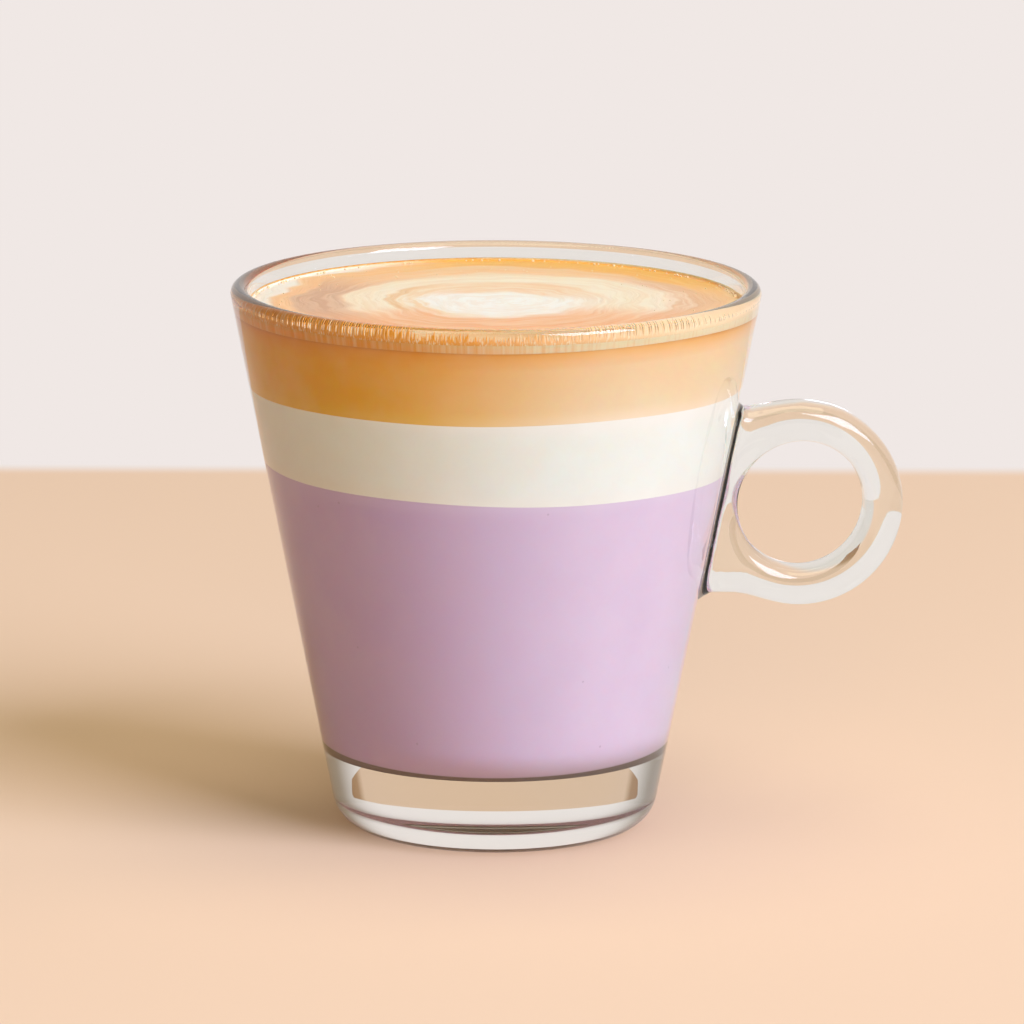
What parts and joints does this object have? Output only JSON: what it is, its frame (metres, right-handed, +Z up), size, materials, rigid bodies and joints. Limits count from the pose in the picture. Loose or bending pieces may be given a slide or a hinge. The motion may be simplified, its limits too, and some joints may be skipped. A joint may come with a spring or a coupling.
{
  "type": "ube latte in a glass cup",
  "caption": "Layered ube latte filling a clear conical glass cup with a thick base and a ring handle.",
  "frame": {"origin": "centre of the foot, on the surface that the cup stands on", "axes": "+Z up along the cup's axis, +X towards the handle"},
  "size_m": [0.1085, 0.085, 0.0885],
  "materials": {
    "clear_glass": "clear pressed soda-lime glass, fire polished",
    "ube_milk": "opaque lilac ube milk; plastic stands in for a liquid",
    "white_milk": "opaque cream-white milk; plastic stands in for a liquid",
    "coffee": "opaque milky coffee; plastic stands in for a liquid",
    "crema": "fine orange-brown crema with a swirl of milk foam; plastic stands in for foam"
  },
  "bodies": {
    "root": {"glass_cup": "clear_glass", "ube_milk": "ube_milk", "white_milk": "white_milk", "coffee": "coffee", "crema": "crema"}
  },
  "joints": []
}
